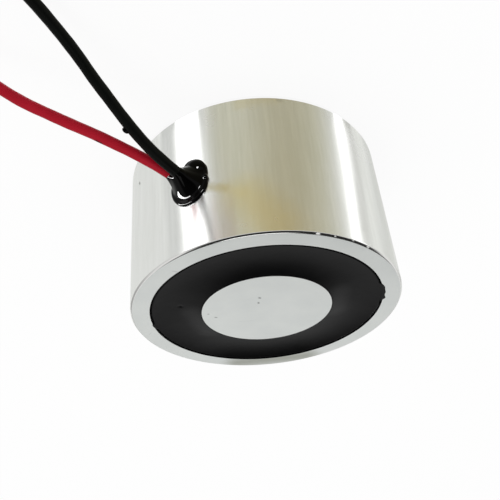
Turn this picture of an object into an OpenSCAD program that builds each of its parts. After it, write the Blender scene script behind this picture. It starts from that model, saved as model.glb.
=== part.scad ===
// Holding electromagnet: a turned steel pot with a solid centre pole, a wound bobbin cast in
// black resin between them, and two insulated leads through a sealed hole in the pot's wall.
// Sizes are in millimetres. The back face stands on z = 0 round the Z axis, the pole face
// looks along +Z, and the leads leave the wall along +X.

/* [Pot] */
// Outside diameter of the pot
pot_d = 50; // [46:0.5:58]
// Height of the pot from its back face to its pole face
pot_h = 30; // [28:0.5:36]
// Thickness of the pot's wall, which is the outer pole
wall_t = 3.6; // [3:0.1:4.4]
// Thickness of the pot's back
back_t = 6; // [5:0.5:7.5]
// Chamfer on the outer edge of the rim
rim_chamfer = 0.3; // [0.1:0.05:0.6]
// Chamfer on the outer edge of the back
back_chamfer = 0.6; // [0.2:0.1:1.2]
// Broken edge of the centre pole and of the rim's inner side
face_edge = 0.15; // [0.05:0.05:0.25]

/* [Mounting thread] */
// Major diameter of the tapped hole in the back
thread_d = 5; // [4:1:8]
// Depth of the tapped hole to the shoulder of its drill point
thread_depth = 10; // [7:0.5:12]
// Width of the countersink round the tapped hole
thread_countersink = 0.4; // [0.2:0.1:0.8]

/* [Lead hole] */
// Diameter of the hole in the wall for the leads
lead_hole_d = 7; // [6.4:0.1:8]
// Height of the lead hole over the back face
lead_hole_z = 16.5; // [15:0.5:18]

/* [Bobbin] */
// Wall of the bobbin's tube
bobbin_wall = 1; // [0.8:0.1:1.4]
// Thickness of each bobbin flange
flange_t = 1.2; // [0.9:0.1:1.6]
// Clearance between the bobbin and the centre pole
bobbin_fit = 0.2; // [0.1:0.05:0.3]
// Clearance between the flanges and the pot's wall
flange_gap = 0.4; // [0.2:0.05:0.6]
// Number of filling notches in the upper flange
notch_count = 4; // [2:1:6]
// Width of each filling notch
notch_w = 5; // [3:0.5:7]
// Depth of each filling notch from the flange's edge
notch_depth = 1.8; // [1:0.1:2.4]

/* [Winding] */
// Thickness of the winding from its first layer to its last
winding_t = 4.5; // [3.5:0.1:5.5]
// Thickness of the tape round the winding
tape_t = 0.25; // [0.15:0.05:0.4]
// Diameter of the winding's enamelled wire
wire_d = 0.5; // [0.3:0.05:0.6]
// Side clearance of the start wire in its groove
groove_gap = 0.1; // [0.05:0.05:0.2]

/* [Leads] */
// Diameter of each lead over its insulation
lead_d = 1.8; // [1.5:0.05:1.9]
// Width of the channel for the leads between tape and wall
lead_channel = 3.2; // [3:0.1:3.6]
// Distance of the red lead from the middle of the hole, along +Y
red_lead_y = 1.4; // [1.2:0.1:1.6]
// Distance of the black lead from the middle of the hole, along -Y
black_lead_y = 0.5; // [0.4:0.1:0.8]
// Height of the black lead over the hole's middle, and of the red lead under it
lead_step = 0.5; // [0.4:0.1:0.7]
// Radius of the bend of each lead inside the hole
lead_bend_r = 2.4; // [2:0.1:2.6]

/* [Splices] */
// Length of insulated lead that lies round the winding
tail_len = 5; // [4:0.5:6]
// Length of the soldered joint
joint_len = 8; // [6:0.5:10]
// Diameter of the soldered joint
joint_d = 1.4; // [1.2:0.05:1.45]
// Wall of the shrink sleeve over each joint
sleeve_t = 0.3; // [0.2:0.05:0.4]
// Clearance between the sleeve and the lead in it
sleeve_fit = 0.1; // [0.05:0.05:0.15]
// Length of sleeve over the lead's insulation
sleeve_lap = 2.5; // [1.5:0.5:3.5]
// Length of sleeve past the joint, over the wire
sleeve_past = 2; // [1:0.5:3]
// Length of bare wire between the sleeve and its turn toward the winding
wire_run = 3; // [2:0.5:4]

/* [Resin] */
// Depth of resin over the bobbin
resin_cap = 3; // [2.5:0.1:3.5]
// Step from the pole face down to the resin's edges
resin_step = 0.1; // [0.05:0.05:0.2]
// Sag of the resin between its edges
resin_dish = 0.3; // [0.1:0.05:0.5]

/* [Lead seal] */
// Width of the bead of resin round the leads
bead_d = 7.4; // [7:0.1:8]
// Height of the bead over the wall
bead_h = 1.3; // [0.8:0.1:1.8]
// Distance between the bead's two drops, along Z
bead_gap = 1.2; // [0.6:0.1:1.6]
// Depth of the seal's inner end from the outer wall
plug_depth = 2.8; // [2:0.1:2.9]
// Height of the collar round each lead over the wall
collar_h = 2.6; // [2.2:0.1:2.8]
// Thickness of the collar at its end
collar_t = 0.3; // [0.2:0.05:0.5]
// Thickness of the collar at the wall
collar_foot = 1.3; // [1:0.1:1.5]

/* [Lead coil] */
// Radius of the coil of spare lead at the middle of its turns
coil_r = 9; // [9:0.1:10]
// Distance of the coil's middle from the pot's wall, along +X
coil_x = 51; // [50:0.5:56]
// Distance of the coil's middle from the axis, along -Y
coil_y = 5; // [4:0.5:6]
// Room between turns that lie side by side
turn_gap = 0.05; // [0.02:0.01:0.1]
// Thickness of the tie round the coil
tie_t = 0.35; // [0.2:0.05:0.5]
// Width of the tie
tie_w = 3; // [2:0.5:5]
// Length of the tie's twisted end
tie_twist = 5; // [3:0.5:8]

/* [Hidden] */
$fn = 96;
// Over-run of a cutting tool past the face that it cuts
over = 1;
pot_r = pot_d / 2;
cavity_r = pot_r - wall_t;
bobbin_h = pot_h - back_t - resin_cap;
bobbin_top = back_t + bobbin_h;
flange_r = cavity_r - flange_gap;
// Radii from the wall in to the centre pole, which fills what the winding leaves
tape_ro = cavity_r - lead_channel;
winding_ro = tape_ro - tape_t;
bobbin_ro = winding_ro - winding_t;
bobbin_ri = bobbin_ro - bobbin_wall;
pole_r = bobbin_ri - bobbin_fit;
winding_z0 = back_t + flange_t;
winding_z1 = bobbin_top - flange_t;
// Radius of the ring that the leads and their splices follow round the winding
ring_r = tape_ro + lead_channel / 2;
groove_w = wire_d + 2 * groove_gap;
// Half angle of the point of the twist drill that makes the tapped hole
drill_half_angle = 59;
// Number of straight steps in the sagging line of the resin's surface
dish_steps = 12;

// Side 1 is the red lead at +Y, side -1 the black lead at -Y, drawn mirrored
red = 1;
black = -1;
function lead_y(side) = side == red ? red_lead_y : black_lead_y;
function lead_z(side) = lead_hole_z - side * lead_step;
// Where the lead's straight run turns into the bend, and the angle where the bend meets the ring
function bend_x(side) = sqrt(pow(ring_r + lead_bend_r, 2) - pow(lead_y(side) + lead_bend_r, 2));
function bend_a(side) = atan2(lead_y(side) + lead_bend_r, bend_x(side));
function along_ring(len) = len / ring_r * 180 / PI;
function tail_a(side) = bend_a(side) + along_ring(tail_len);
function joint_a(side) = tail_a(side) + along_ring(joint_len);
function sleeve_a(side) = joint_a(side) + along_ring(sleeve_past);
function wire_a(side) = sleeve_a(side) + along_ring(wire_run);

// Height of the lead hole for which the routes below are drawn
drawn_z = 16.5;
// Routes outside the seal: distance from the wall along X, then Y, then height over the floor
black_route = [
    [6, 0.1, 16.4], [9, 0.9, 15.2], [12, 1.6, 13.6], [15, 2.1, 11.9], [18, 2.5, 10.1],
    [21, 2.8, 8.5], [24, 2.9, 7], [27, 3, 5.8], [30, 3.2, 4.7], [33, 3.5, 3.6],
    [36, 4, 2.6], [39, 4.8, 1.8], [42, 5.5, 1.4]
];
red_route = [
    [6, 2.4, 15.4], [9, 3.9, 14.6], [12, 5.7, 13.7], [15, 7.7, 12.7], [18, 9.9, 11.7],
    [21, 12, 10.7], [24, 13.9, 9.8], [27, 15.5, 8.7], [30, 16.8, 7.4], [33, 17.7, 6],
    [36, 18.2, 4.6], [39, 18.3, 3.3], [42, 17.9, 2.3], [45, 16.9, 1.6], [48, 15.2, 1.4],
    [51, 12.9, 1.7], [53.5, 10.4, 2.3]
];
// Distance from the wall where the leads have left the seal and are free to turn
exit_x = 3;
// Sides of each lead's tube
tube_sides = 8;
// Number of steps in the bend inside the hole, and in each run round the ring
bend_steps = 5;
ring_steps = 3;

turn_pitch = lead_d + turn_gap;
coil_outer_turn = coil_r + turn_pitch;
bundle_w = 2 * turn_pitch + lead_d;
bundle_h = 2 * lead_d;
bundle_z = tie_t + lead_d;
coil_at = [pot_r + coil_x, -coil_y, 0];
// Angles round the coil where the leads join it, and how far back each one runs straight to its tube
black_join = 90;
red_join = 30;
black_run = 7;
red_run = 8;
tie_angle = 270;
// Angle of coil inside the tie
tie_span = tie_w / coil_r * 180 / PI;

function join_angle(side) = side == red ? red_join : black_join;
function join_run(side) = side == red ? red_run : black_run;
function join_z(side) = tie_t + lead_d / 2 + (side == red ? lead_d : 0);
function turn_point(angle) = [cos(angle), sin(angle), 0] * coil_outer_turn;
function turn_heading(angle) = [sin(angle), -cos(angle), 0];
function join_point(side) = coil_at + turn_point(join_angle(side))
    - turn_heading(join_angle(side)) * join_run(side) + [0, 0, join_z(side)];
// Inner end of a lead: round the winding, through the bend and straight out of the hole
function ring_points(side, from, to) = [
    for (i = [0:ring_steps])
        let (a = from + (to - from) * i / ring_steps)
            [ring_r * cos(a), side * ring_r * sin(a), lead_z(side)]
];
function bend_points(side) = [
    for (i = [1:bend_steps])
        let (a = 180 + bend_a(side) + (90 - bend_a(side)) * i / bend_steps)
            [
                bend_x(side) + lead_bend_r * cos(a),
                side * (lead_y(side) + lead_bend_r * (1 + sin(a))),
                lead_z(side)
            ]
];
function tail_points(side) = concat(
    ring_points(side, tail_a(side), bend_a(side)),
    bend_points(side),
    [[pot_r + exit_x, side * lead_y(side), lead_z(side)]]
);
// A route's drawn points moved with the wall, and with the hole's height where they are near it
function placed(points) = [
    for (i = [0:len(points) - 1]) points[i]
        + [pot_r, 0, (lead_hole_z - drawn_z) * (1 - i / (len(points) - 1))]
];
function lead_points(side) = concat(
    tail_points(side),
    placed(side == red ? red_route : black_route),
    [join_point(side)]
);
// Wire from the red joint up the channel and in along the flange's groove to the first layer
start_corner = [cos(wire_a(red)), sin(wire_a(red)), 0];
start_z = winding_z1 + wire_d / 2;
start_points = concat(
    ring_points(red, joint_a(red), wire_a(red) - along_ring(wire_d)),
    [
        ring_r * start_corner + [0, 0, lead_z(red) + wire_d],
        ring_r * start_corner + [0, 0, start_z - wire_d],
        (ring_r - wire_d) * start_corner + [0, 0, start_z],
        (bobbin_ro + wire_d) * start_corner + [0, 0, start_z]
    ]
);
// Wire from the black joint in through the tape to the winding's last layer
finish_corner = [cos(wire_a(black)), -sin(wire_a(black)), 0];
finish_points = concat(
    ring_points(black, joint_a(black), wire_a(black) - along_ring(wire_d)),
    [
        (ring_r - wire_d) * finish_corner + [0, 0, lead_z(black)],
        winding_ro * finish_corner + [0, 0, lead_z(black)]
    ]
);

function unit(v) = v / norm(v);
// Heading of a path at a point: the given ones at its ends, else from neighbour to neighbour
function heading(points, i, first, last) =
    i == 0 ? first
    : i == len(points) - 1 ? last
    : unit(unit(points[i + 1] - points[i]) + unit(points[i] - points[i - 1]));
// A direction across the first heading, carried from ring to ring with the least turn
function carried(a, d) = unit(a - d * (a * d));
function across(points, first, last) = [
    for (
        i = 0, a = carried([0.3, 0.2, 1], first);
        i < len(points);
        i = i + 1, a = i < len(points) ? carried(a, heading(points, i, first, last)) : a
    ) a
];
function tube_points(points, r, first, last) =
    let (sides = across(points, first, last))
        [
            for (i = [0:len(points) - 1])
                let (a = sides[i], b = cross(heading(points, i, first, last), a))
                    for (k = [0:tube_sides - 1])
                        points[i] + (a * cos(360 * k / tube_sides) + b * sin(360 * k / tube_sides)) * r
        ];
function tube_faces(rings) = concat(
    [[for (k = [0:tube_sides - 1]) k]],
    [[for (k = [tube_sides - 1:-1:0]) (rings - 1) * tube_sides + k]],
    [
        for (i = [0:rings - 2])
            for (k = [0:tube_sides - 1])
                let (n = (k + 1) % tube_sides)
                    [
                        i * tube_sides + k,
                        (i + 1) * tube_sides + k,
                        (i + 1) * tube_sides + n,
                        i * tube_sides + n
                    ]
    ]
);
function ring_heading(side, a) = [-sin(a), side * cos(a), 0];

module on_side(side) {
    if (side == red) {
        children();
    } else {
        mirror([0, 1, 0]) children();
    }
}

module along_x(x0, y, z, len, r1, r2) {
    translate([x0, y, z])
        rotate([0, 90, 0])
            cylinder(h = len, r1 = r1, r2 = r2);
}

module tube(points, r, first, last) {
    polyhedron(
        points = tube_points(points, r, first, last),
        faces = tube_faces(len(points))
    );
}

module ring_rod(ring, rod_r, from, to) {
    rotate([0, 0, from])
        rotate_extrude(angle = to - from)
            translate([ring, 0])
                circle(r = rod_r);
}

module magnet_pot() {
    color("silver")
        difference() {
            rotate_extrude()
                polygon([
                    [0, 0],
                    [pot_r - back_chamfer, 0],
                    [pot_r, back_chamfer],
                    [pot_r, pot_h - rim_chamfer],
                    [pot_r - rim_chamfer, pot_h],
                    [cavity_r + face_edge, pot_h],
                    [cavity_r, pot_h - face_edge],
                    [cavity_r, back_t],
                    [pole_r, back_t],
                    [pole_r, pot_h - face_edge],
                    [pole_r - face_edge, pot_h],
                    [0, pot_h]
                ]);
            // Lead hole through one side of the wall
            along_x(ring_r, 0, lead_hole_z, pot_r - ring_r + over, lead_hole_d / 2, lead_hole_d / 2);
            // Tapped hole, its drill point and its countersink
            translate([0, 0, -over])
                cylinder(h = thread_depth + over, d = thread_d);
            translate([0, 0, thread_depth])
                cylinder(h = thread_d / 2 / tan(drill_half_angle), r1 = thread_d / 2, r2 = 0);
            translate([0, 0, -over])
                cylinder(
                    h = thread_countersink + over,
                    r1 = thread_d / 2 + thread_countersink + over,
                    r2 = thread_d / 2
                );
        }
}

// Boxes at the upper flange's edge, open to the wall
module notches(reach) {
    for (i = [0:notch_count - 1])
        rotate([0, 0, 360 / notch_count * (i + 0.5)])
            translate([flange_r - notch_depth, -notch_w / 2, winding_z1])
                cube([notch_depth + reach, notch_w, flange_t]);
}

module bobbin() {
    color("ivory")
        difference() {
            rotate_extrude()
                polygon([
                    [bobbin_ri, back_t],
                    [flange_r, back_t],
                    [flange_r, winding_z0],
                    [bobbin_ro, winding_z0],
                    [bobbin_ro, winding_z1],
                    [flange_r, winding_z1],
                    [flange_r, bobbin_top],
                    [bobbin_ri, bobbin_top]
                ]);
            notches(over);
            start_groove();
        }
}

// Radial groove under the upper flange for the wire from the winding's first layer
module start_groove() {
    rotate([0, 0, wire_a(red)])
        translate([bobbin_ro, -groove_w / 2, winding_z1 - over])
            cube([flange_r - bobbin_ro + over, groove_w, over + wire_d + groove_gap]);
}

module coil_winding() {
    color("chocolate")
        translate([0, 0, winding_z0])
            difference() {
                cylinder(h = winding_z1 - winding_z0, r = winding_ro);
                translate([0, 0, -over])
                    cylinder(h = winding_z1 - winding_z0 + 2 * over, r = bobbin_ro);
            }
}

module winding_tape() {
    color("gold")
        difference() {
            translate([0, 0, winding_z0])
                cylinder(h = winding_z1 - winding_z0, r = tape_ro);
            translate([0, 0, winding_z0 - over])
                cylinder(h = winding_z1 - winding_z0 + 2 * over, r = winding_ro);
            // Hole for the finish wire
            rotate([0, 0, -wire_a(black)])
                along_x(bobbin_ro, 0, lead_z(black), ring_r - bobbin_ro, groove_w / 2, groove_w / 2);
        }
}

module start_wire() {
    color("peru")
        tube(start_points, wire_d / 2, ring_heading(red, joint_a(red)), -start_corner);
}

module finish_wire() {
    color("peru")
        tube(finish_points, wire_d / 2, ring_heading(black, joint_a(black)), -finish_corner);
}

module splice_joint(side) {
    on_side(side)
        translate([0, 0, lead_z(side)])
            ring_rod(ring_r, joint_d / 2, tail_a(side), joint_a(side));
}

module red_splice_joint() {
    color("lightgrey") splice_joint(red);
}

module black_splice_joint() {
    color("lightgrey") splice_joint(black);
}

module sleeve_rod(side, rod_r, past) {
    on_side(side)
        translate([0, 0, lead_z(side)])
            ring_rod(
                ring_r,
                rod_r,
                tail_a(side) - along_ring(sleeve_lap + past),
                sleeve_a(side) + along_ring(past)
            );
}

module splice_sleeve(side) {
    difference() {
        sleeve_rod(side, lead_d / 2 + sleeve_fit + sleeve_t, 0);
        sleeve_rod(side, lead_d / 2 + sleeve_fit, over);
    }
}

module red_splice_sleeve() {
    color("dimgrey") splice_sleeve(red);
}

module black_splice_sleeve() {
    color("dimgrey") splice_sleeve(black);
}

// Height of the resin's surface at a fraction of the way from wall to pole
function resin_z(t) = pot_h - resin_step - resin_dish * 4 * t * (1 - t);

module potting_resin() {
    color("black")
        difference() {
            union() {
                rotate_extrude()
                    polygon(concat(
                        [[flange_r, back_t], [cavity_r, back_t]],
                        [
                            for (i = [0:dish_steps])
                                let (t = i / dish_steps)
                                    [cavity_r + (pole_r - cavity_r) * t, resin_z(t)]
                        ],
                        [
                            [pole_r, bobbin_top],
                            [flange_r, bobbin_top],
                            [flange_r, winding_z1],
                            [tape_ro, winding_z1],
                            [tape_ro, winding_z0],
                            [flange_r, winding_z0]
                        ]
                    ));
                notches(flange_gap / 2);
                along_x(
                    ring_r,
                    0,
                    lead_hole_z,
                    pot_r - plug_depth - ring_r,
                    lead_hole_d / 2,
                    lead_hole_d / 2
                );
            }
            lead(red);
            lead(black);
            sleeve_rod(red, lead_d / 2 + sleeve_fit + sleeve_t, 0);
            sleeve_rod(black, lead_d / 2 + sleeve_fit + sleeve_t, 0);
            start_wire();
            finish_wire();
        }
}

module bead_drop(z) {
    cap_h = bead_h + pot_r - sqrt(pow(pot_r, 2) - pow(bead_d / 2, 2));
    drop_r = (pow(bead_d / 2, 2) + pow(cap_h, 2)) / (2 * cap_h);
    translate([pot_r + bead_h - drop_r, 0, z])
        sphere(r = drop_r);
}

module collar(side) {
    along_x(
        pot_r,
        side * lead_y(side),
        lead_z(side),
        collar_h,
        lead_d / 2 + collar_foot,
        lead_d / 2 + collar_t
    );
}

module lead_seal() {
    color("black")
        difference() {
            union() {
                difference() {
                    union() {
                        bead_drop(lead_hole_z + bead_gap / 2);
                        bead_drop(lead_hole_z - bead_gap / 2);
                    }
                    cylinder(h = pot_h, r = pot_r);
                }
                along_x(
                    pot_r - plug_depth,
                    0,
                    lead_hole_z,
                    plug_depth,
                    lead_hole_d / 2,
                    lead_hole_d / 2
                );
                collar(red);
                collar(black);
            }
            lead(red);
            lead(black);
        }
}

module lead(side) {
    tube(
        lead_points(side),
        lead_d / 2,
        -ring_heading(side, tail_a(side)),
        turn_heading(join_angle(side))
    );
}

module red_lead() {
    color("firebrick") lead(red);
}

module black_lead() {
    color("black") lead(black);
}

// Rounded section of the coil's turns, with a margin round it
module bundle_section(margin) {
    w = bundle_w + 2 * margin;
    h = bundle_h + 2 * margin;
    r = lead_d / 2 + margin;
    translate([coil_r, bundle_z]) {
        square([w - 2 * r, h], center = true);
        square([w, h - 2 * r], center = true);
        for (x = [-1, 1])
            for (y = [-1, 1])
                translate([x * (w / 2 - r), y * (h / 2 - r)])
                    circle(r = r);
    }
}

module join_stub(side) {
    angle = join_angle(side);
    translate(coil_at + [0, 0, join_z(side)])
        rotate([0, 0, angle])
            translate([coil_outer_turn, 0, 0])
                rotate([-90, 0, 0])
                    cylinder(h = join_run(side), d = lead_d);
}

module lead_coil() {
    color("maroon") {
        translate(coil_at)
            rotate_extrude()
                bundle_section(0);
        join_stub(red);
        join_stub(black);
    }
}

module lead_tie() {
    color("black")
        translate(coil_at)
            rotate([0, 0, tie_angle - tie_span / 2]) {
                rotate_extrude(angle = tie_span)
                    difference() {
                        bundle_section(tie_t);
                        bundle_section(0);
                    }
                rotate([0, 0, tie_span / 2])
                    along_x(
                        coil_r + bundle_w / 2 + tie_t / 2,
                        0,
                        bundle_z,
                        tie_twist,
                        2 * tie_t,
                        2 * tie_t
                    );
            }
}

magnet_pot();
bobbin();
coil_winding();
winding_tape();
start_wire();
finish_wire();
red_splice_joint();
black_splice_joint();
red_splice_sleeve();
black_splice_sleeve();
potting_resin();
lead_seal();
red_lead();
black_lead();
lead_coil();
lead_tie();
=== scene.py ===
# %% [markdown]
# # A holding electromagnet, dressed over its solids
# The part is a turned steel pot with a centre pole, black resin cast between pole and rim, and two
# leads that leave through a sealed hole in the wall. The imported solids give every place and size.
# This lesson makes the surfaces that are seen: each mesh is a formula on a grid of numbers, built in
# one go, each lead is a curve, and each finish is a small tree of shader nodes.

import bpy
import bmesh
import numpy as np
from mathutils import Matrix


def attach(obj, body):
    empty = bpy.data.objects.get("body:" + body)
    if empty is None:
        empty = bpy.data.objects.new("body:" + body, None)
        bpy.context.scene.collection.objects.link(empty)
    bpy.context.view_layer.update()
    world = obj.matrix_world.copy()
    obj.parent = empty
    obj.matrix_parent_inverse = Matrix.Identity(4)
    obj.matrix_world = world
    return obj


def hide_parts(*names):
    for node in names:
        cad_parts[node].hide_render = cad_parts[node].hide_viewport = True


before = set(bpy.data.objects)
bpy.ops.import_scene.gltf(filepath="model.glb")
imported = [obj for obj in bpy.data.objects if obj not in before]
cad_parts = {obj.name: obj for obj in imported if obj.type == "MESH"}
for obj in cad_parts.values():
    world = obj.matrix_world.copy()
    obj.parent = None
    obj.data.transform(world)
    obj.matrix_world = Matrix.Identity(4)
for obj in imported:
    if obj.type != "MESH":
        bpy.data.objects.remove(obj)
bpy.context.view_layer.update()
MM = 0.001

# %% [markdown]
# ## The camera
# The magnet stands on its back with the pole face up, and the picture shows it the other way up.
# So the camera is rolled by half a turn instead of the magnet. Its place and axes were found by
# fitting the ellipses of both rims, and an object takes them as the columns of a matrix.

# %% Camera
CAMERA_AT = np.array([96.95, -46.68, 87.41]) * MM
CAMERA_BACK = np.array([0.74462, -0.37613, 0.55143])
CAMERA_RIGHT = np.array([-0.49716, -0.86376, 0.08216])
FOCAL_PIXELS, FRAME_PIXELS, SENSOR_MM = 654.65, 500, 36
NEAREST_SEEN = 5 * MM


def new_object(name, data):
    """An object for some data, linked to the scene."""
    item = bpy.data.objects.new(name, data)
    bpy.context.scene.collection.objects.link(item)
    return item


def set_place(item, right, back, at):
    """Turns and moves an object by a matrix of its right, up and backward direction and its place."""
    axes = np.eye(4)
    axes[:3] = np.stack([right, np.cross(back, right), back, at], axis=1)
    item.matrix_world = Matrix(axes.tolist())


camera_data = bpy.data.cameras.new("photo_camera")
camera_data.sensor_width = SENSOR_MM
camera_data.lens = FOCAL_PIXELS / FRAME_PIXELS * SENSOR_MM
camera_data.clip_start = NEAREST_SEEN
camera = new_object("photo_camera", camera_data)
set_place(camera, CAMERA_RIGHT, CAMERA_BACK, CAMERA_AT)
bpy.context.scene.camera = camera
print("lens in mm:", round(camera_data.lens, 2))

# %% [markdown]
# ## From numbers to a mesh
# Every mesh piece below is a grid of points: rows along a profile, columns round it. One helper
# joins neighbouring points by four-sided faces, wraps the columns round, and merges the points that
# fall together at a pole. A closed shell then has its faces turned outwards in one call.

# %% Mesh helpers
MERGED_WITHIN = 1e-7


def full_turn(count):
    """Evenly spaced angles of one full turn, with the start only once."""
    return np.linspace(0, 2 * np.pi, count + 1)[:-1]


def grid_faces(rows, columns, wrap_rows=False, wrap_columns=True):
    """Four corners for each cell of a grid of points."""
    index = np.arange(rows * columns).reshape(rows, columns)
    if wrap_rows:
        index = np.vstack([index, index[:1]])
    if wrap_columns:
        index = np.hstack([index, index[:, :1]])
    corners = [index[:-1, :-1], index[:-1, 1:], index[1:, 1:], index[1:, :-1]]
    return np.stack([c.ravel() for c in corners], axis=1)


def add_piece(name, *grids, wrapped=0, smooth=True):
    """One mesh piece from grids of points in mm; the first few, as counted, wrap their rows too."""
    points, faces, count = [], [], 0
    for k, grid in enumerate(grids):
        rows, columns = grid.shape[:2]
        points.append(grid.reshape(-1, 3) * MM)
        faces.append(grid_faces(rows, columns, k < wrapped) + count)
        count += rows * columns
    mesh = bpy.data.meshes.new(name)
    mesh.from_pydata(np.vstack(points).tolist(), [], np.vstack(faces).tolist())
    work = bmesh.new()
    work.from_mesh(mesh)
    bmesh.ops.remove_doubles(work, verts=work.verts, dist=MERGED_WITHIN)
    bmesh.ops.recalc_face_normals(work, faces=work.faces)
    work.to_mesh(mesh)
    work.free()
    mesh.polygons.foreach_set("use_smooth", np.full(len(mesh.polygons), smooth))
    piece = new_object(name, mesh)
    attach(piece, "root")
    print(name, "faces:", len(mesh.polygons))
    return piece


# %% [markdown]
# ## The two leads
# A lead is a fixed length of limp wire. It leaves the seal straight, bends down under its weight to
# the floor, and the spare length is wound into a small coil beside the magnet. The route repeats the
# points of the solid lead. A spline through these points gives a smooth line, and the rest of the
# length runs round the coil, one turn inside the other. Insulation never comes out of the press quite
# even, so the thickness ripples a little and is greater at the start.

# %% Routes of the leads
LEAD_D, LEAD_LENGTH, LEAD_POINTS = 1.8, 200, 361
WALL_R = 25
BLACK_ROUTE = [
    [24, -0.5, 17], [26, -0.5, 17], [28, -0.5, 17], [31, 0.1, 16.4], [34, 0.9, 15.2], [37, 1.6, 13.6],
    [40, 2.1, 11.9], [43, 2.5, 10.1], [46, 2.8, 8.5], [49, 2.9, 7], [52, 3, 5.8], [55, 3.2, 4.7],
    [58, 3.5, 3.6], [61, 4, 2.6], [64, 4.8, 1.8], [67, 5.5, 1.4], [69, 5.85, 1.25], [72.5, 5.85, 1.25],
]
RED_ROUTE = [
    [24, 1.4, 16], [26, 1.4, 16], [28, 1.4, 16], [31, 2.4, 15.4], [34, 3.9, 14.6], [37, 5.7, 13.7],
    [40, 7.7, 12.7], [43, 9.9, 11.7], [46, 12, 10.7], [49, 13.9, 9.8], [52, 15.5, 8.7], [55, 16.8, 7.4],
    [58, 17.7, 6], [61, 18.2, 4.6], [64, 18.3, 3.3], [67, 17.9, 2.3], [70, 16.9, 1.6], [73, 15.2, 1.4],
    [76, 12.9, 1.7], [78.5, 10.4, 2.3], [81.4, 7.35, 3.05], [83.4, 3.89, 3.05],
]
COIL_MIDDLE, OUTER_TURN_R, TURN_PITCH = np.array([76, -5]), 10.85, 1.85
STEP_IN_LEAD, STEP_IN_SPAN = 110, 70
BLACK_JOIN, RED_JOIN = 90, 30


def spline_through(points, per_span=6):
    """Smooth line through points: a cubic on each span, with half the neighbours' chord as slope."""
    p = np.asarray(points, float)
    ends = np.vstack([2 * p[:1] - p[1:2], p, 2 * p[-1:] - p[-2:-1]])
    slope = (ends[2:] - ends[:-2]) / 2
    t = np.linspace(0, 1, per_span, endpoint=False)[:, None, None]
    a, b, va, vb = p[:-1], p[1:], slope[:-1], slope[1:]
    line = ((2 * t**3 - 3 * t**2 + 1) * a + (t**3 - 2 * t**2 + t) * va
            + (3 * t**2 - 2 * t**3) * b + (t**3 - t**2) * vb)
    return np.vstack([line.transpose(1, 0, 2).reshape(-1, p.shape[1]), p[-1:]])


def length_along(line):
    """Running length of a line of points."""
    return np.concatenate([[0], np.cumsum(np.linalg.norm(np.diff(line, axis=0), axis=1))])


def points_at(line, way):
    """Points of a line at given lengths along it."""
    along = length_along(line)
    return np.stack([np.interp(way, along, line[:, k]) for k in range(3)], axis=1)


def ease(t):
    """Runs from 0 to 1 with level ends."""
    t = np.clip(t, 0, 1)
    return t * t * (3 - 2 * t)


def coil_turns(join, height, turns=3, per_turn=48):
    """Flat coil, clockwise from above: each turn steps in by one pitch shortly before it is full."""
    turned = np.linspace(0, 360 * turns, per_turn * turns + 1)
    steps = [ease((turned - (360 * k - STEP_IN_LEAD)) / STEP_IN_SPAN) for k in range(1, turns + 1)]
    radius = OUTER_TURN_R - TURN_PITCH * sum(steps)
    angle = np.radians(join - turned)
    flat = COIL_MIDDLE + radius[:, None] * np.stack([np.cos(angle), np.sin(angle)], axis=1)
    return np.column_stack([flat, np.full(len(flat), height)])


def lead_line(route, join):
    """The route's spline and then the coil's turns, cut where the lead's length ends."""
    line = np.vstack([spline_through(route)[:-1], coil_turns(join, route[-1][2])])
    return points_at(line, np.linspace(0, LEAD_LENGTH, LEAD_POINTS))


# %% Leads
LEAD_WAVES = [(0.012, 0.9, 0), (0.009, 2.3, 1)]
WAVES_END, WAVES_EASE = 80, 30
PLUMP_END, PLUMP_EASE = 75, 25
RED_PLUMP, BLACK_PLUMP = 0.02, 0.07


def ripple(waves, at):
    """Sum of sines, each given by its height, its rate and its phase."""
    return sum(height * np.sin(rate * at + phase) for height, rate, phase in waves)


def swell(line, plump):
    """Thickness factor along a lead: a ripple and a plumper start, eased out before the coil."""
    way = length_along(line)
    uneven = ripple(LEAD_WAVES, way) * ease((WAVES_END - way) / WAVES_EASE)
    return 1 + uneven + plump * ease((PLUMP_END - way) / PLUMP_EASE)


def add_lead(name, line, plump):
    """A round bar along the line: radii in metres on a bevel of one metre keep the curve's box true."""
    data = bpy.data.curves.new(name, "CURVE")
    data.dimensions = "3D"
    data.bevel_depth, data.bevel_resolution = 1, 6
    data.use_fill_caps = True
    spline = data.splines.new("POLY")
    spline.points.add(len(line) - 1)
    spline.points.foreach_set("co", np.column_stack([line * MM, np.ones(len(line))]).ravel())
    spline.points.foreach_set("radius", LEAD_D / 2 * MM * swell(line, plump))
    spline.use_smooth = True
    piece = new_object(name, data)
    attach(piece, "root")
    return piece


red_line = lead_line(RED_ROUTE, RED_JOIN)
black_line = lead_line(BLACK_ROUTE, BLACK_JOIN)
red_cord = add_lead("red_lead_wire", red_line, RED_PLUMP)
black_cord = add_lead("black_lead_wire", black_line, BLACK_PLUMP)
print("ends of the leads in mm:", np.round(red_line[-1], 1), np.round(black_line[-1], 1))

# %% [markdown]
# ### Bare ends
# Each lead ends in a few millimetres of stripped, tinned strands that were twisted together. A
# bundle of strands is a bar whose section is a circle with a lobe for each strand, and the lobes
# turn as the section moves on along the line.

# %% Bare tinned ends
STRAND_LOBE, DOME_SHARE = 0.13, 0.07
BARE_OVERLAP, BARE_SINK, BARE_CAP = 0.6, 0.25, 0.01


def ring_along(line, columns):
    """Unit ring at each point of a line: cosine level across it and sine upright, for one full turn."""
    along = np.gradient(line, axis=0)
    along /= np.linalg.norm(along, axis=1)[:, None]
    across = np.cross([0, 0, 1], along)
    across /= np.linalg.norm(across, axis=1)[:, None]
    around = full_turn(columns)[None, :, None]
    return np.cos(around) * across[:, None] + np.sin(around) * np.cross(along, across)[:, None]


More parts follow.
